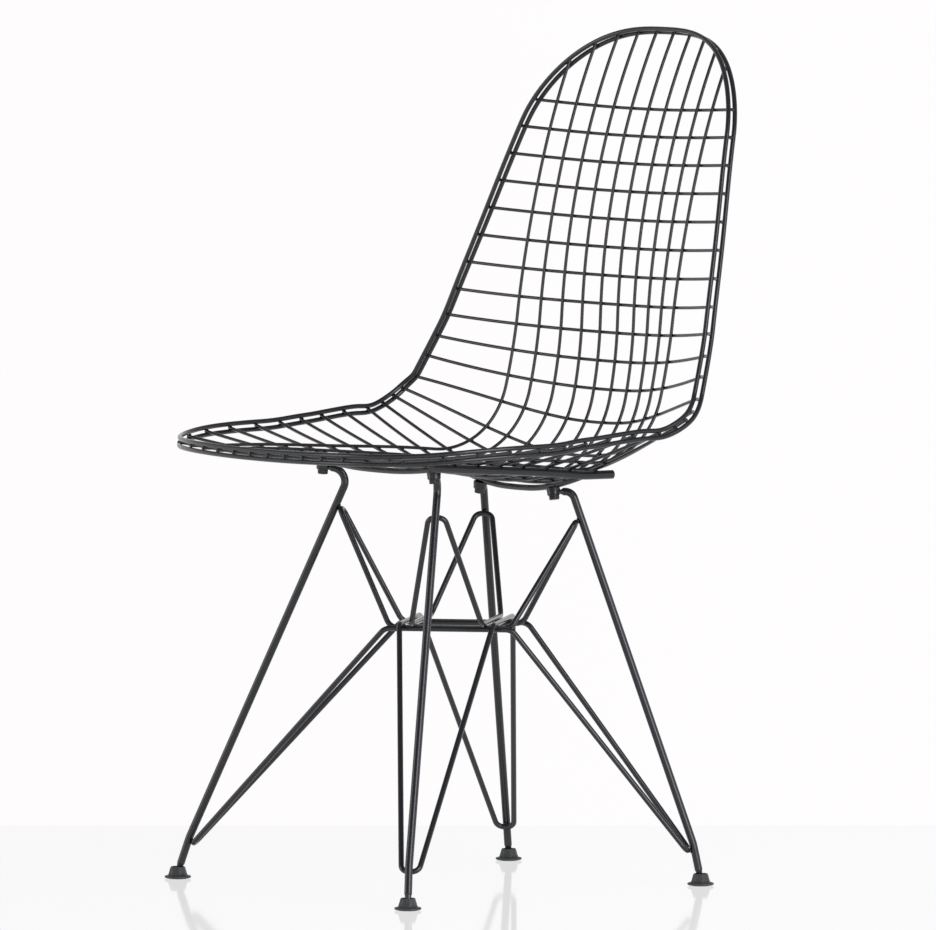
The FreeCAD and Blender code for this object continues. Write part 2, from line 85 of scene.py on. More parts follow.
# Heights and half widths of the glide's socket, in metres.
SOLE_TOP = 0.00125
SOLE_HALF = 0.0091
FLANGE_BOTTOM = 0.0006
FLANGE_TOP = 0.0031
FLANGE_ROUNDING = 0.0013
DOME_START = 0.0034
DOME_END = 0.0111
SOCKET_TOP = 0.0119
MOUTH_HALF = 0.0061
WAIST_HALF = 0.00395
WAIST_HEIGHT = 0.0084
CAVITY_HALF = 0.00435
CAVITY_HEIGHT = 0.0064
CAVITY_BOTTOM = 0.0021


class CoatLook(bpy.types.PropertyGroup):
    """The satin powder coat on every steel part."""

    colour: bpy.props.FloatVectorProperty(
        name="Coat colour",
        description="Colour of the powder coat",
        subtype="COLOR",
        size=3,
        min=0,
        max=1,
        default=(0.0085, 0.0102, 0.0128),
    )
    colour_drift: bpy.props.FloatProperty(
        name="Colour drift",
        description="How much lighter the coat gets where it lies thin",
        subtype="FACTOR",
        min=0,
        max=1,
        default=0.35,
    )
    roughness: bpy.props.FloatProperty(
        name="Roughness",
        description="Middle roughness of the coat",
        subtype="FACTOR",
        min=0,
        max=1,
        default=0.21,
    )
    roughness_drift: bpy.props.FloatProperty(
        name="Roughness drift",
        description="How far the roughness wanders over the coat",
        subtype="FACTOR",
        min=0,
        max=0.5,
        default=0.1,
    )
    peel_size: bpy.props.FloatProperty(
        name="Orange peel size",
        description="Width of one dimple of the coat",
        unit="LENGTH",
        default=0.0011,
    )
    peel_depth: bpy.props.FloatProperty(
        name="Orange peel depth",
        description="Depth of the dimples of the coat",
        unit="LENGTH",
        default=0.00002,
    )


class PlasticLook(bpy.types.PropertyGroup):
    """The moulded plastic of the glides."""

    colour: bpy.props.FloatVectorProperty(
        name="Plastic colour",
        description="Colour of the moulded plastic",
        subtype="COLOR",
        size=3,
        min=0,
        max=1,
        default=(0.036, 0.041, 0.040),
    )
    roughness: bpy.props.FloatProperty(
        name="Roughness",
        description="Middle roughness of the plastic",
        subtype="FACTOR",
        min=0,
        max=1,
        default=0.5,
    )
    grain_size: bpy.props.FloatProperty(
        name="Grain size",
        description="Width of one grain of the moulded texture",
        unit="LENGTH",
        default=0.0006,
    )
    scuff: bpy.props.FloatProperty(
        name="Scuff",
        description="How pale the plastic is rubbed at the floor",
        subtype="FACTOR",
        min=0,
        max=1,
        default=0.35,
    )


class WeldSizes(bpy.types.PropertyGroup):
    """The small welds that join the wires and rods."""

    spread: bpy.props.FloatProperty(
        name="Weld spread",
        description="Width of a weld where two thin wires cross",
        unit="LENGTH",
        default=0.0037,
    )
    thickness: bpy.props.FloatProperty(
        name="Weld thickness",
        description="Height of a weld between two thin wires",
        unit="LENGTH",
        default=0.0014,
    )
    rod_spread: bpy.props.FloatProperty(
        name="Rod weld spread",
        description="Width of a weld between two of the thicker rods",
        unit="LENGTH",
        default=0.0052,
    )
    rod_thickness: bpy.props.FloatProperty(
        name="Rod weld thickness",
        description="Height of a weld between two of the thicker rods",
        unit="LENGTH",
        default=0.0022,
    )
    unevenness: bpy.props.FloatProperty(
        name="Unevenness",
        description="How much the welds differ in size",
        subtype="FACTOR",
        min=0,
        max=0.5,
        default=0.14,
    )
    seed: bpy.props.IntProperty(name="Seed", description="Seed of the unevenness", default=7)


class BoltSizes(bpy.types.PropertyGroup):
    """The four hexagon bolts under the seat."""

    across_flats: bpy.props.FloatProperty(
        name="Across flats",
        description="Width of the head between two flats",
        unit="LENGTH",
        default=0.0098,
    )
    head_height: bpy.props.FloatProperty(
        name="Head height",
        description="Height of the head with its washer",
        unit="LENGTH",
        default=0.005,
    )
    washer_width: bpy.props.FloatProperty(
        name="Washer width",
        description="Diameter of the washer under the head",
        unit="LENGTH",
        default=0.0114,
    )
    thread_width: bpy.props.FloatProperty(
        name="Thread width",
        description="Diameter of the threaded shank",
        unit="LENGTH",
        default=0.005,
    )


class GlideSizes(bpy.types.PropertyGroup):
    """The moulded socket of a glide."""

    flats: bpy.props.IntProperty(
        name="Flats", description="Number of flats around the dome", min=3, max=16, default=8
    )
    dome_base: bpy.props.FloatProperty(
        name="Dome base",
        description="Width of the dome over its corners at the flange",
        unit="LENGTH",
        default=0.0191,
    )
    dome_top: bpy.props.FloatProperty(
        name="Dome top",
        description="Width of the dome over its corners at the mouth",
        unit="LENGTH",
        default=0.0148,
    )
    flange: bpy.props.FloatProperty(
        name="Flange",
        description="Diameter of the flange",
        unit="LENGTH",
        default=0.0259,
    )
    turn: bpy.props.FloatProperty(
        name="Turn",
        description="How far the flats are turned about the upright",
        subtype="ANGLE",
        default=math.radians(43),
    )


class StudioLook(bpy.types.PropertyGroup):
    """Floor, light and camera."""

    floor_colour: bpy.props.FloatVectorProperty(
        name="Floor colour",
        description="Colour of the floor as the camera sees it",
        subtype="COLOR",
        size=3,
        min=0,
        max=1,
        default=(0.990, 0.984, 0.985),
    )
    backdrop_colour: bpy.props.FloatVectorProperty(
        name="Backdrop colour",
        description="Colour behind the floor's far edge",
        subtype="COLOR",
        size=3,
        min=0,
        max=1,
        default=(0.992, 0.974, 0.982),
    )
    floor_gloss: bpy.props.FloatProperty(
        name="Floor gloss",
        description="Share of the floor's look that is a reflection",
        subtype="FACTOR",
        min=0,
        max=1,
        default=0.24,
    )
    floor_shade: bpy.props.FloatProperty(
        name="Floor shade",
        description="Share of the floor's look that takes light and shadow",
        subtype="FACTOR",
        min=0,
        max=1,
        default=0.1,
    )
    far_edge: bpy.props.FloatProperty(
        name="Far edge",
        description="Distance from the chair's middle to the floor's far edge",
        unit="LENGTH",
        default=0.6,
    )
    key_power: bpy.props.FloatProperty(
        name="Key light", description="Power of the large light at the right", unit="POWER", default=88
    )
    fill_power: bpy.props.FloatProperty(
        name="Fill light", description="Power of the light from the left", unit="POWER", default=20
    )
    world_strength: bpy.props.FloatProperty(
        name="Room light", description="Strength of the even light of the room", default=0.34
    )
    focal_length: bpy.props.FloatProperty(
        name="Focal length",
        description="Focal length of the camera on a 36 mm sensor",
        unit="CAMERA",
        default=508.7,
    )


class Value:
    """A number inside a node tree; Python's operators add the Math nodes."""

    def __init__(self, tree, socket):
        self.tree = tree
        self.socket = socket

    def math(self, operation, *others, clamp=False):
        node = self.tree.add("ShaderNodeMath", {"operation": operation, "use_clamp": clamp}, (self, *others))
        return Value(self.tree, node.outputs[0])

    def __add__(self, other):
        return self.math("ADD", other)

    __radd__ = __add__

    def __mul__(self, other):
        return self.math("MULTIPLY", other)

    __rmul__ = __mul__

    def __sub__(self, other):
        return self.math("SUBTRACT", other)

    def __rsub__(self, other):
        return (self * -1) + other

    def __truediv__(self, other):
        return self.math("DIVIDE", other)

    def clamped(self):
        return self.math("ADD", 0.0, clamp=True)


class Tree:
    """A node tree in which one method adds and joins every node."""

    def __init__(self, tree):
        self.tree = tree
        tree.nodes.clear()

    def add(self, kind, settings=None, inputs=()):
        """Adds a node; inputs are in order, or by socket name, as values, sockets or Value."""
        node = self.tree.nodes.new(kind)
        for name, setting in (settings or {}).items():
            setattr(node, name, setting)
        pairs = inputs.items() if isinstance(inputs, dict) else enumerate(inputs)
        for key, given in pairs:
            socket = node.inputs[key]
            if isinstance(given, Value):
                given = given.socket
            if isinstance(given, bpy.types.NodeSocket):
                self.tree.links.new(given, socket)
            elif given is not None:
                socket.default_value = given
        return node

    def value(self, kind, settings=None, inputs=()):
        return Value(self, self.add(kind, settings, inputs).outputs[0])


def surface(name):
    """A new material's tree, its object coordinates and its output node."""
    material = bpy.data.materials.new(name)
    material.use_nodes = True
    tree = Tree(material.node_tree)
    place = tree.add("ShaderNodeTexCoord").outputs["Object"]
    output = tree.add("ShaderNodeOutputMaterial")
    return material, tree, place, output


def noise(tree, place, size, detail=2.0, roughness=0.5):
    """Noise from 0 to 1 whose features are size metres wide."""
    inputs = {"Vector": place, "Scale": 1 / size, "Detail": detail, "Roughness": roughness}
    return tree.value("ShaderNodeTexNoise", {}, inputs)


def tinted(tree, factor, first, second):
    """Colour between two colours."""
    inputs = {6: (*first, 1.0), 7: (*second, 1.0), 0: factor}
    return tree.add("ShaderNodeMix", {"data_type": "RGBA"}, inputs).outputs[2]


def powder_coat(name="black_powder_coat", weld=False):
    """Satin black coat with fine orange peel, a little paler where it lies thin."""
    look = bpy.context.scene.chair_coat
    material, tree, place, output = surface(name)
    colour = tuple(look.colour)
    thin = tuple(min(1.0, channel * (1 + look.colour_drift)) for channel in colour)
    clouds = noise(tree, place, 0.045, 3.0)
    speckle = noise(tree, place, 0.0009, 1.0)
    peel = noise(tree, place, look.peel_size, 2.0, 0.55)
    ripple = noise(tree, place, 0.006 if weld else 0.02, 2.0)
    share = (clouds * 0.7 + speckle * 0.3).clamped()
    rough = (look.roughness - look.roughness_drift / 2) + clouds * look.roughness_drift
    rough = rough + (speckle - 0.5) * 0.08
    if weld:
        rough = rough + 0.05
    fine = tree.add(
        "ShaderNodeBump",
        {},
        {"Strength": 1.0, "Distance": look.peel_depth, "Height": peel},
    )
    wavy = tree.add(
        "ShaderNodeBump",
        {},
        {"Strength": 1.0, "Distance": look.peel_depth * 4, "Height": ripple, "Normal": fine.outputs[0]},
    )
    shader = tree.add(
        "ShaderNodeBsdfPrincipled",
        {},
        {
            "Base Color": tinted(tree, share, colour, thin),
            "Roughness": rough,
            "IOR": 1.5,
            "Specular IOR Level": 0.5,
            "Normal": wavy.outputs[0],
        },
    )
    tree.tree.links.new(shader.outputs[0], output.inputs[0])
    return material


def moulded_plastic(name="dark_grey_plastic"):
    """Matte moulded plastic with a fine grain, rubbed a little paler near the floor."""
    look = bpy.context.scene.chair_plastic
    material, tree, place, output = surface(name)
    colour = tuple(look.colour)
    pale = tuple(min(1.0, channel * (1 + 2.5 * look.scuff)) for channel in colour)
    clouds = noise(tree, place, 0.012, 3.0)
    grain = noise(tree, place, look.grain_size, 2.0, 0.6)
    height = tree.add("ShaderNodeSeparateXYZ", {}, {0: place}).outputs[2]
    low = 1 - Value(tree, height) / 0.0035
    rubbed = (low.clamped() * (clouds * 1.6 - 0.2)).clamped()
    rough = (look.roughness - 0.06) + clouds * 0.12 + rubbed * 0.12
    bump = tree.add("ShaderNodeBump", {}, {"Strength": 1.0, "Distance": 0.00003, "Height": grain})
    shader = tree.add(
        "ShaderNodeBsdfPrincipled",
        {},
        {
            "Base Color": tinted(tree, (rubbed * 0.8 + clouds * 0.2).clamped(), colour, pale),
            "Roughness": rough,
            "IOR": 1.47,
            "Normal": bump.outputs[0],
        },
    )
    tree.tree.links.new(shader.outputs[0], output.inputs[0])
    return material


def material_named(name, maker):
    """The material of that name, made the first time it is asked for."""
    return bpy.data.materials.get(name) or maker()


def coat():
    """The coat of rods, wires and bolts."""
    return material_named("black_powder_coat", powder_coat)


def weld_coat():
    """The coat where it lies over a weld."""
    return material_named("black_coat_on_welds", lambda: powder_coat("black_coat_on_welds", weld=True))


def plastic():
    """The plastic of the glides."""
    return material_named("dark_grey_plastic", moulded_plastic)


def give(obj, material):
    """Puts one material in every slot of an object."""
    if not obj.data.materials:
        obj.data.materials.append(material)
    for slot in range(len(obj.data.materials)):
        obj.data.materials[slot] = material


def corners_of(name):
    """Vertices of a node as an array."""
    mesh = NODES[name].data
    points = np.empty(len(mesh.vertices) * 3, np.float32)
    mesh.vertices.foreach_get("co", points)
    return points.reshape(-1, 3).astype(float)


def edges_of(name):
    """Pairs of vertices that the edges of a node join."""
    mesh = NODES[name].data
    ends = np.empty(len(mesh.edges) * 2, np.int32)
    mesh.edges.foreach_get("vertices", ends)
    return ends.reshape(-1, 2)


class Rod:
    """A wire or rod of the frame: where its middle is, and what lies nearest on it."""

    def __init__(self, name):
        self.name = name
        self.points = corners_of(name)
        self.edges = edges_of(name)
        mesh = NODES[name].data
        faces = [tuple(face.vertices) for face in mesh.polygons]
        self.search = BVHTree.FromPolygons([tuple(point) for point in self.points], faces)

    def middle_at(self, x):
        """Middle of the rod's section at x, or None where it doesn't reach."""
        first = self.points[self.edges[:, 0]]
        second = self.points[self.edges[:, 1]]
        before = first[:, 0] - x
        after = second[:, 0] - x
        crossing = before * after < 0
        if crossing.sum() < 6:
            return None
        share = (before[crossing] / (before[crossing] - after[crossing]))[:, None]
        found = first[crossing] + (second[crossing] - first[crossing]) * share
        return Vector((found.min(0) + found.max(0)) / 2)

    def nearest(self, point):
        """The nearest place on the rod's surface."""
        return self.search.find_nearest(point)[0]

    def along_edges(self, step):
        """Points at even steps along every edge of the rod's surface."""
        first = self.points[self.edges[:, 0]]
        run = self.points[self.edges[:, 1]] - first
        parts = np.ceil(np.linalg.norm(run, axis=1) / step).astype(int)
        spots = [self.points]
        for count in np.unique(parts):
            chosen = parts == count
            for share in np.arange(1, count) / count:
                spots.append(first[chosen] + run[chosen] * share)
        return np.concatenate(spots)

    def joints_with(self, other, reach, apart):
        """One spot for each place where the other rod comes within reach of this one."""
        near = []
        for spot in other.along_edges(SAMPLE_STEP):
            found, normal, index, gap = self.search.find_nearest(Vector(spot), reach)
            if found is not None:
                near.append((gap, tuple(found), tuple(normal)))
        near.sort()
        chosen = []
        for gap, found, normal in near:
            if all((Vector(found) - spot[0]).length > apart for spot in chosen):
                through = Vector(normal)
                chosen.append((Vector(found), through, through.orthogonal().normalized()))
        return chosen


def weld_spots(name, spots, spread, thickness):
    """One mesh of small welds: each spot is a place, the direction through both wires and one along."""
    sizes = bpy.context.scene.chair_welds
    mesh = bpy.data.meshes.new(name)
    mesh.from_pydata([spot[0] for spot in spots], [], [])
    for attribute, column in (("through", 1), ("along", 2)):
        layer = mesh.attributes.new(attribute, "FLOAT_VECTOR", "POINT")
        layer.data.foreach_set("vector", [part for spot in spots for part in spot[column]])
    obj = bpy.data.objects.new(name, mesh)
    bpy.context.scene.collection.objects.link(obj)
    group = weld_tree()
    modifier = obj.modifiers.new("Welds", "NODES")
    modifier.node_group = group
    given = {
        "Spread": spread,
        "Thickness": thickness,
        "Unevenness": sizes.unevenness,
        "Seed": sizes.seed,
        "Material": weld_coat(),
    }
    for item in group.interface.items_tree:
        if item.item_type == "SOCKET" and item.in_out == "INPUT" and item.name in given:
            modifier[item.identifier] = given[item.name]
    return plain(obj)


def plain(obj):
    """The object with its modifiers worked into a plain mesh."""
    bpy.context.view_layer.update()
    evaluated = obj.evaluated_get(bpy.context.evaluated_depsgraph_get())
    mesh = bpy.data.meshes.new_from_object(evaluated, preserve_all_data_layers=False)
    mesh.name = obj.name
    obj.modifiers.clear()
    old = obj.data
    obj.data = mesh
    bpy.data.meshes.remove(old)
    if not mesh.polygons:
        raise RuntimeError(obj.name + " came out empty")
    return obj


def weld_tree():
    """Geometry Nodes: a flattened bead on every point, turned to its two wires."""
    found = bpy.data.node_groups.get("Weld beads")
    if found:
        return found
    group = bpy.data.node_groups.new("Weld beads", "GeometryNodeTree")
    interface = group.interface
    interface.new_socket("Geometry", in_out="INPUT", socket_type="NodeSocketGeometry")
    for name in ("Spread", "Thickness", "Unevenness"):
        interface.new_socket(name, in_out="INPUT", socket_type="NodeSocketFloat")
    interface.new_socket("Seed", in_out="INPUT", socket_type="NodeSocketInt")
    interface.new_socket("Material", in_out="INPUT", socket_type="NodeSocketMaterial")
    interface.new_socket("Geometry", in_out="OUTPUT", socket_type="NodeSocketGeometry")
    tree = Tree(group)
    given = tree.add("NodeGroupInput").outputs
    through = tree.add(
        "GeometryNodeInputNamedAttribute", {"data_type": "FLOAT_VECTOR"}, {"Name": "through"}
    ).outputs["Attribute"]
    along = tree.add(
        "GeometryNodeInputNamedAttribute", {"data_type": "FLOAT_VECTOR"}, {"Name": "along"}
    ).outputs["Attribute"]
    turn = tree.add(
        "FunctionNodeAxesToRotation",
        {"primary_axis": "Z", "secondary_axis": "X"},
        (through, along),
    ).outputs[0]
    bead = tree.add("GeometryNodeMeshIcoSphere", {}, {"Radius": 0.5, "Subdivisions": 2}).outputs[0]
    wide = Value(tree, given["Spread"])
    size = tree.add("ShaderNodeCombineXYZ", {}, (wide, wide, Value(tree, given["Thickness"]))).outputs[0]
    shaped = tree.add("GeometryNodeTransform", {}, {"Geometry": bead, "Scale": size}).outputs[0]
    smooth = tree.add("GeometryNodeSetShadeSmooth", {}, {"Geometry": shaped}).outputs[0]
    uneven = Value(tree, given["Unevenness"])
    least = tree.add("ShaderNodeCombineXYZ", {}, (1 - uneven, 1 - uneven, 1 - uneven * 0.5)).outputs[0]
    most = tree.add("ShaderNodeCombineXYZ", {}, (1 + uneven, 1 + uneven, 1 + uneven * 0.5)).outputs[0]
    chance = tree.add(
        "FunctionNodeRandomValue",
        {"data_type": "FLOAT_VECTOR"},
        {"Min": least, "Max": most, "Seed": given["Seed"]},
    ).outputs["Value"]
    placed = tree.add(
        "GeometryNodeInstanceOnPoints",
        {},
        {"Points": given["Geometry"], "Instance": smooth, "Rotation": turn, "Scale": chance},
    ).outputs[0]
    real = tree.add("GeometryNodeRealizeInstances", {}, {"Geometry": placed}).outputs[0]
    dressed = tree.add(
        "GeometryNodeSetMaterial", {}, {"Geometry": real, "Material": given["Material"]}
    ).outputs[0]
    tree.add("NodeGroupOutput", {}, {0: dressed})
    return group


def crossing_spots(lengthwise, crossing, reach):
    """Spots where a wire of constant x meets one that runs across it."""
    spots = []
    for wire in lengthwise:
        x = float((wire.points[:, 0].min() + wire.points[:, 0].max()) / 2)
        for other in crossing:
            middle = other.middle_at(x)
            ahead = other.middle_at(x + 0.002)
            if middle is None or ahead is None:
                continue
            touch = wire.nearest(middle)
            if touch is None or (touch - middle).length > reach:
                continue
            through = (touch - middle).normalized()
            spots.append((touch, through, (ahead - middle).normalized()))
    return spots


def end_spots(rods, rims):
    """Spots where the ends of the wires meet the rims."""
    spots = []
    for rod in rods:
        if rod.name in CROSS:
            order = rod.points[:, 0]
        else:
            order = rod.points @ FRONT_TO_TOP
        for sign in (-1, 1):
            ranked = np.argsort(order * sign)
            tip = Vector(rod.points[ranked[-TIP_POINTS:]].mean(0))
            inner = Vector(rod.points[ranked[-NEAR_TIP_POINTS:]].mean(0))
            for rim in rims:
                touch = rim.nearest(tip)
                if (touch - tip).length > WIRE_REACH:
                    continue
                through = (touch - tip).normalized()
                along = tip - inner
                along = (along - through * along.dot(through)).normalized()
                spots.append((touch - along * END_WELD_INSET, through, along))
    return spots


def add_object(name, mesh):
    """A new object in the scene."""
    obj = bpy.data.objects.new(name, mesh)
    bpy.context.scene.collection.objects.link(obj)
    return obj


def quarter(name, corner):
    """Vertices of a grouped node that belong to one corner of the chair."""
    points = corners_of(name)
    side = 1 if corner.endswith("left") else -1
    depth = -1 if corner.startswith("front") else 1
    middle_y = (points[:, 1].min() + points[:, 1].max()) / 2
    return points[(points[:, 0] * side > 0) & ((points[:, 1] - middle_y) * depth > 0)]


def upright_of(points):
    """Middle of a flat round piece and the direction through it, pointing up."""
    middle = points.mean(0)
    spread = np.linalg.svd(points - middle, full_matrices=False)[2]
    through = Vector(spread[2]).normalized()
    return Vector((points.min(0) + points.max(0)) / 2), through if through.z > 0 else -through


def turned(profile, sides, shape=None):
    """Closed solid of revolution; shape may change the radius by angle and height."""
    mesh = bmesh.new()
    rings = []
    for radius, height in profile:
        if radius < 1e-9:
            rings.append([mesh.verts.new((0, 0, height))])
            continue
        ring = []
        for step in range(sides):
            angle = 2 * math.pi * step / sides
            reach = radius * (shape(angle, height) if shape else 1)
            ring.append(mesh.verts.new((reach * math.cos(angle), reach * math.sin(angle), height)))
        rings.append(ring)
    for below, above in zip(rings, rings[1:]):
        for step in range(sides):
            after = (step + 1) % sides
            if len(below) == 1:
                mesh.faces.new((below[0], above[after], above[step]))
            elif len(above) == 1:
                mesh.faces.new((below[step], below[after], above[0]))
            else:
                mesh.faces.new((below[step], below[after], above[after], above[step]))
    bmesh.ops.recalc_face_normals(mesh, faces=mesh.faces)
    for face in mesh.faces:
        face.smooth = True
    return mesh


def hexagon(angle):
    """Radius of a hexagon of unit half width at an angle."""
    share = (angle + math.pi / 6) % (math.pi / 3) - math.pi / 6
    return 1 / math.cos(share)


def bolt_mesh(sizes):
    """Chamfered hexagon head with a washer above it and a plain shank."""
    flat = sizes.across_flats / 2
    washer = sizes.washer_width / 2
    shank = sizes.thread_width / 2
    height = sizes.head_height
    head = height * 0.8

    def corner_cut(angle, level):
        if level > head + 1e-6:
            return 1.0
        return min(hexagon(angle), 1.13 - 0.05 * max(0.0, 1 - level / 0.0006))

    profile = [
        (0, 0.0002),
        (flat * 0.55, 0.0),
        (flat * 0.88, 0.0),
        (flat * 0.97, 0.0004),
        (flat, 0.0009),
        (flat, head - 0.0005),
        (flat * 0.985, head - 0.0001),
        (washer - 0.0003, head + 0.00001),
        (washer, head + 0.0002),
        (washer, height - 0.0002),
        (washer - 0.0002, height),
        (shank, height),
        (shank, height + 0.0056),
        (0, height + 0.0056),
    ]
    mesh = turned(profile, 72, corner_cut)
    return mesh


def glide_mesh(sizes):
    """Rounded flange, eight sided dome and dished mouth; the flats narrow the cavity too."""
    flange = sizes.flange / 2
    base = sizes.dome_base / 2
    top = sizes.dome_top / 2
    step = 2 * math.pi / sizes.flats
    softness = 0.35

    def dome(angle, level):
        if level < DOME_START:
            return 1.0
        share = (angle - sizes.turn + step / 2) % step - step / 2
        flat = math.cos(step / 2) / math.cos(share)
        strength = min(1.0, (level - DOME_START) / 0.0012) * (1 - softness * (abs(share) / (step / 2)) ** 6)
        if level > DOME_END:
            strength *= max(0.0, 1 - (level - DOME_END) / 0.0009)
        return 1 + (flat - 1) * strength

    recess = [
        (0, SOLE_TOP),
        (SOLE_HALF, SOLE_TOP),
        (SOLE_HALF + 0.0001, FLANGE_BOTTOM),
    ]
    edge = [
        (flange - FLANGE_ROUNDING, FLANGE_BOTTOM),
        (flange - 0.0005, 0.0009),
        (flange - 0.0001, 0.0014),
        (flange, 0.0019),
        (flange - 0.0001, 0.0024),
        (flange - 0.0005, 0.0028),
        (flange - FLANGE_ROUNDING, FLANGE_TOP - 0.00005),
    ]
    wall = [
        (base + 0.0011, FLANGE_TOP),
        (base + 0.0004, DOME_START),
        (base, 0.0040),
        (base - 0.0003, 0.0048),
    ]
    for share in (0.2, 0.4, 0.6, 0.8, 0.95):
        wall.append((base - 0.0003 + (top - base + 0.0003) * share, 0.0048 + 0.0062 * share))
    wall += [
        (top - 0.0003, 0.0114),
        (top - 0.0007, 0.0118),
        (top - 0.0011, SOCKET_TOP),
    ]
    cavity = [
        (MOUTH_HALF, SOCKET_TOP - 0.0002),
        (0.0050, 0.0100),
        (WAIST_HALF, WAIST_HEIGHT),
        (0.00425, 0.0072),
        (CAVITY_HALF, CAVITY_HEIGHT),
        (0.0042, 0.0052),
        (0.0035, 0.0038),
        (0.0021, 0.0026),
        (0, CAVITY_BOTTOM),
    ]
    profile = recess + edge + wall + cavity
    return turned(profile, 96, dome)


def mesh_from(name, source):
    """A plain mesh made from a bmesh, which is then freed."""
    mesh = bpy.data.meshes.new(name)
    source.to_mesh(mesh)
    source.free()
    return mesh


class CHAIR_OT_coat_steel(bpy.types.Operator):
    """Give every steel part of the frame its powder coat and every sole its plastic"""

    bl_idname = "chair.coat_steel"
    bl_label = "Coat the steel"

    def execute(self, context):
        for name, obj in NODES.items():
            give(obj, plastic() if "_glide_" in name else coat())
        return {"FINISHED"}


class CHAIR_OT_mesh_welds(bpy.types.Operator):
    """Put a weld at every crossing of the mesh and at every wire end"""

    bl_idname = "chair.mesh_welds"
    bl_label = "Weld the mesh"

    def execute(self, context):
        sizes = context.scene.chair_welds
        lengthwise = [Rod(name) for name in LENGTHWISE]
        crossing = [Rod(name) for name in CROSS]
        rims = [Rod(name) for name in RIMS]
        spots = crossing_spots(lengthwise, crossing, WIRE_REACH)
        if len(spots) < 200:
            raise RuntimeError("only %d crossings were found" % len(spots))
        welds = weld_spots("crossing_welds", spots, sizes.spread, sizes.thickness)
        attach(welds, "chair_frame")
        spots = end_spots(crossing + lengthwise, rims)
        if len(spots) < 100:
            raise RuntimeError("only %d wire ends were found" % len(spots))
        ends = weld_spots("rim_welds", spots, sizes.spread * 0.95, sizes.thickness)
        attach(ends, "chair_frame")
        return {"FINISHED"}


class CHAIR_OT_rod_welds(bpy.types.Operator):
    """Put a weld wherever two rods of the base or a rail and the mesh meet"""

    bl_idname = "chair.rod_welds"
    bl_label = "Weld the base"

    def execute(self, context):
        sizes = context.scene.chair_welds
        braces = [Rod(name) for name in BRACES]
        legs = [Rod(name) for name in LEGS]
        rails = [Rod(name) for name in RAILS]
        bars = [Rod(name) for name in BARS]
        crossing = [Rod(name) for name in CROSS]
        pads = Rod("mounting_pads")
        spots = []
        for first, second in itertools.product(legs, braces):
            spots += first.joints_with(second, ROD_REACH, 0.02)
        for first, second in itertools.combinations(braces, 2):
            spots += first.joints_with(second, ROD_REACH, 0.006)
        for first, second in itertools.product(bars, rails):
            spots += first.joints_with(second, ROD_REACH, 0.012)
        for bar in bars:
            spots += bar.joints_with(pads, ROD_REACH, 0.02)
        if len(spots) < 20:
            raise RuntimeError("only %d joints were found in the base" % len(spots))
        welds = weld_spots("base_welds", spots, sizes.rod_spread, sizes.rod_thickness)
        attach(welds, "chair_frame")
        spots = []
        for first, second in itertools.product(rails, crossing):
            spots += first.joints_with(second, ROD_REACH, 0.012)
        if len(spots) < 10:
            raise RuntimeError("only %d joints were found on the rails" % len(spots))
        welds = weld_spots("rail_welds", spots, sizes.spread, sizes.thickness)
        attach(welds, "chair_frame")
        return {"FINISHED"}


class CHAIR_OT_bolts(bpy.types.Operator):
    """Replace the four plain bolts with chamfered ones on washers"""

    bl_idname = "chair.bolts"
    bl_label = "Fit the bolts"

    def execute(self, context):
        sizes = context.scene.chair_bolts
        whole = bmesh.new()
        for corner in CORNERS:
            middle, through = upright_of(quarter("mounting_pads", corner))
            heads = quarter("leg_bolts", corner)
            lowest = min(Vector(point).dot(through) for point in heads)
            foot = middle + through * (lowest - middle.dot(through))
            mesh = mesh_from("bolt", bolt_mesh(sizes))
            turn = Vector((0, 0, 1)).rotation_difference(through).to_matrix().to_4x4()
            mesh.transform(Matrix.Translation(foot) @ turn)
            whole.from_mesh(mesh)
            bpy.data.meshes.remove(mesh)
        bolts = add_object("hexagon_bolts", mesh_from("hexagon_bolts", whole))
        give(bolts, coat())
        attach(bolts, "chair_frame")
        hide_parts("leg_bolts")
        return {"FINISHED"}


class CHAIR_OT_glides(bpy.types.Operator):
    """Replace the four plain sockets with moulded ones"""

    bl_idname = "chair.glides"
    bl_label = "Mould the glides"

    def execute(self, context):
        sizes = context.scene.chair_glides
        for corner in CORNERS:
            low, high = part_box(corner + "_glide_socket")
            middle = (low + high) / 2
            mesh = mesh_from(corner + "_glide_cap", glide_mesh(sizes))
            mesh.transform(Matrix.Translation((middle.x, middle.y, 0)))
            cap = add_object(corner + "_glide_cap", mesh)
            give(cap, plastic())
            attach(cap, corner + "_glide")
            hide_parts(corner + "_glide_socket")
        return {"FINISHED"}


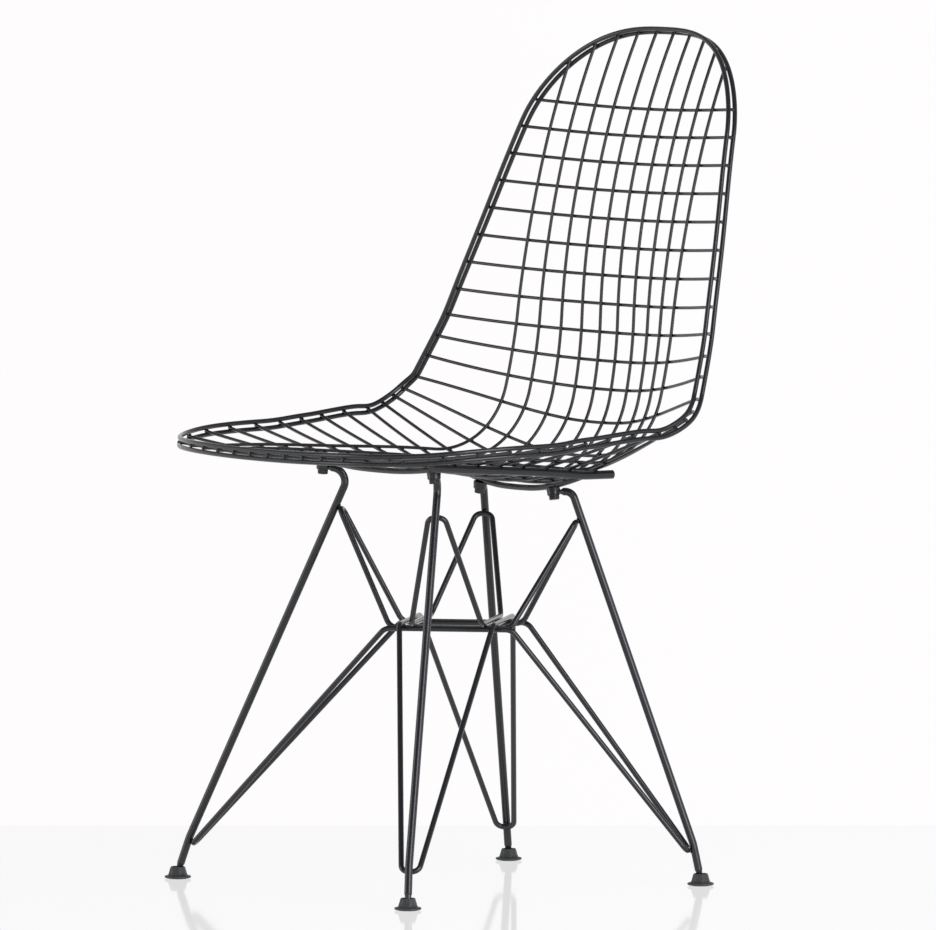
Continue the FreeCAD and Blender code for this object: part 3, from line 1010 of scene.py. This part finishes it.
class CHAIR_OT_studio(bpy.types.Operator):
    """Set up the floor, the room, the lights and the camera"""

    bl_idname = "chair.studio"
    bl_label = "Set up the studio"

    def execute(self, context):
        look = context.scene.chair_studio
        context.scene.view_settings.view_transform = "Standard"
        camera = bpy.data.cameras.new("photograph_view")
        camera.lens = look.focal_length
        camera.sensor_width = 36
        camera.sensor_fit = "HORIZONTAL"
        camera.clip_start = 1
        camera.clip_end = 500
        holder = add_object("photograph_view", camera)
        holder.location = EYE
        holder.rotation_euler = (AIM - EYE).to_track_quat("-Z", "Y").to_euler()
        context.scene.camera = holder
        toward = Vector((EYE.x, EYE.y, 0)).normalized()
        aside = Vector((-toward.y, toward.x, 0))
        self.floor(look, toward, aside)
        self.room(look, context)
        key_place = aside * 2.0 + toward * 2.7 + Vector((0, 0, 1.45))
        self.light("key_light", look.key_power, key_place, (2.0, 2.9), (0.95, 0.91, 1.0))
        fill_place = aside * -3.4 + toward * 0.4 + Vector((0, 0, 1.2))
        self.light("fill_light", look.fill_power, fill_place, (1.2, 2.2), (1.0, 1.0, 1.0))
        return {"FINISHED"}

    def light(self, name, power, place, size, tint):
        """A soft rectangle of light, width by height, turned to the chair."""
        lamp = bpy.data.lights.new(name, "AREA")
        lamp.shape = "RECTANGLE"
        lamp.size, lamp.size_y = size
        lamp.energy = power
        lamp.color = tint
        holder = add_object(name, lamp)
        holder.location = place
        holder.rotation_euler = (Vector((0, 0, 0.45)) - place).to_track_quat("-Z", "Y").to_euler()

    def floor(self, look, toward, aside):
        """A floor with a straight far edge, a wider sheet under it and a round backdrop."""
        for name, far, level in (("floor", look.far_edge, 0.0), ("ground", FLOOR_REACH, -SHEET_DROP)):
            corners = [
                toward * -far + aside * -FLOOR_REACH,
                toward * -far + aside * FLOOR_REACH,
                toward * FLOOR_REACH + aside * FLOOR_REACH,
                toward * FLOOR_REACH + aside * -FLOOR_REACH,
            ]
            mesh = bpy.data.meshes.new(name)
            mesh.from_pydata([(spot.x, spot.y, level) for spot in corners], [], [(0, 3, 2, 1)])
            sheet = add_object(name, mesh)
            colour = look.floor_colour if name == "floor" else look.backdrop_colour
            shading, gloss = (look.floor_shade, look.floor_gloss) if name == "floor" else (0.0, 0.0)
            give(sheet, self.sheet_material(name, tuple(colour), shading, gloss))
        angles = [math.tau * step / BACKDROP_SIDES for step in range(BACKDROP_SIDES)]
        ring = [(BACKDROP_RADIUS * math.cos(angle), BACKDROP_RADIUS * math.sin(angle)) for angle in angles]
        spots = [(x, y, level) for level in (-SHEET_DROP, BACKDROP_HEIGHT) for x, y in ring]
        faces = []
        for step in range(BACKDROP_SIDES):
            after = (step + 1) % BACKDROP_SIDES
            faces.append((after, step, step + BACKDROP_SIDES, after + BACKDROP_SIDES))
        mesh = bpy.data.meshes.new("backdrop")
        mesh.from_pydata(spots, [], faces)
        wall = add_object("backdrop", mesh)
        give(wall, self.sheet_material("backdrop", tuple(look.backdrop_colour), 0.0, 0.0))

    def sheet_material(self, name, colour, shading, gloss):
        """White to the camera, apart from a share of shadow and a share of reflection; painted light makes
        it a little paler towards the camera's right.
        """
        material, tree, place, output = surface(name + "_paint")
        clouds = noise(tree, place, 1.8, 2.0)
        # Painted light: the paint grows up to 1.2 % paler towards the camera's right, where the key light
        # stands, with random clouds on top.
        painted_light_gradient = tree.add("ShaderNodeVectorMath", {"operation": "DOT_PRODUCT"}, (place, (0.58, 0.81, 0)))
        share = (Value(tree, painted_light_gradient.outputs["Value"]) * 1.6 + 0.35 + clouds * 0.2).clamped()
        pale = tuple(min(1.0, channel * 1.012) for channel in colour)
        paint = tinted(tree, share, colour, pale)
        shade = tree.add(
            "ShaderNodeBsdfPrincipled",
            {},
            {"Base Color": paint, "Roughness": 0.6, "Specular IOR Level": 0.0},
        )
        glow = tree.add("ShaderNodeEmission", {}, {"Color": paint, "Strength": 1.0})
        mirror = tree.add("ShaderNodeBsdfGlossy", {}, {"Color": (0.985, 1.0, 1.0, 1), "Roughness": 0.07})
        path = tree.add("ShaderNodeLightPath").outputs
        seen = Value(tree, path["Is Camera Ray"]) + Value(tree, path["Is Glossy Ray"])
        seen = (seen + Value(tree, path["Is Transmission Ray"])).clamped()
        white = tree.add(
            "ShaderNodeMixShader", {}, (seen * (1 - shading), shade.outputs[0], glow.outputs[0])
        )
        camera_only = Value(tree, path["Is Camera Ray"]) * gloss
        whole = tree.add("ShaderNodeMixShader", {}, (camera_only, white.outputs[0], mirror.outputs[0]))
        tree.tree.links.new(whole.outputs[0], output.inputs[0])
        return material

    def room(self, look, context):
        """Even pale light from all round, at full strength where the camera looks at it."""
        world = bpy.data.worlds.new("room")
        world.use_nodes = True
        context.scene.world = world
        tree = Tree(world.node_tree)
        path = tree.add("ShaderNodeLightPath").outputs
        seen = Value(tree, path["Is Camera Ray"]).math("MAXIMUM", Value(tree, path["Is Transmission Ray"]))
        strength = seen * (1 - look.world_strength) + look.world_strength
        background = tree.add(
            "ShaderNodeBackground", {}, {"Color": (0.985, 0.98, 0.985, 1), "Strength": strength}
        )
        tree.add("ShaderNodeOutputWorld", {}, {0: background.outputs[0]})


class CHAIR_PT_pieces(bpy.types.Panel):
    """Lists the values that a user may change, with a button for each step that builds the chair"""

    bl_idname = "CHAIR_PT_pieces"
    bl_label = "Wire mesh chair"
    bl_space_type = "VIEW_3D"
    bl_region_type = "UI"
    bl_category = "Chair"

    def draw(self, context):
        for group, operators in SECTIONS:
            box = self.layout.box()
            settings = getattr(context.scene, group)
            for name in settings.bl_rna.properties.keys():
                if name not in ("rna_type", "name"):
                    box.prop(settings, name)
            for operator in operators:
                box.operator(operator.bl_idname)


GROUPS = {
    "chair_coat": CoatLook,
    "chair_plastic": PlasticLook,
    "chair_welds": WeldSizes,
    "chair_bolts": BoltSizes,
    "chair_glides": GlideSizes,
    "chair_studio": StudioLook,
}
SECTIONS = (
    ("chair_coat", (CHAIR_OT_coat_steel,)),
    ("chair_plastic", ()),
    ("chair_welds", (CHAIR_OT_mesh_welds, CHAIR_OT_rod_welds)),
    ("chair_bolts", (CHAIR_OT_bolts,)),
    ("chair_glides", (CHAIR_OT_glides,)),
    ("chair_studio", (CHAIR_OT_studio,)),
)
CLASSES = (
    *GROUPS.values(),
    CHAIR_OT_coat_steel,
    CHAIR_OT_mesh_welds,
    CHAIR_OT_rod_welds,
    CHAIR_OT_bolts,
    CHAIR_OT_glides,
    CHAIR_OT_studio,
    CHAIR_PT_pieces,
)


def register():
    for kind in CLASSES:
        bpy.utils.register_class(kind)
    for name, group in GROUPS.items():
        setattr(bpy.types.Scene, name, bpy.props.PointerProperty(type=group))


def unregister():
    for name in GROUPS:
        delattr(bpy.types.Scene, name)
    for kind in reversed(CLASSES):
        bpy.utils.unregister_class(kind)


def main():
    register()
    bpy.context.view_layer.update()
    bpy.ops.chair.coat_steel()
    bpy.ops.chair.mesh_welds()
    bpy.ops.chair.rod_welds()
    bpy.ops.chair.bolts()
    bpy.ops.chair.glides()
    bpy.ops.chair.studio()


if __name__ == "__main__":
    main()
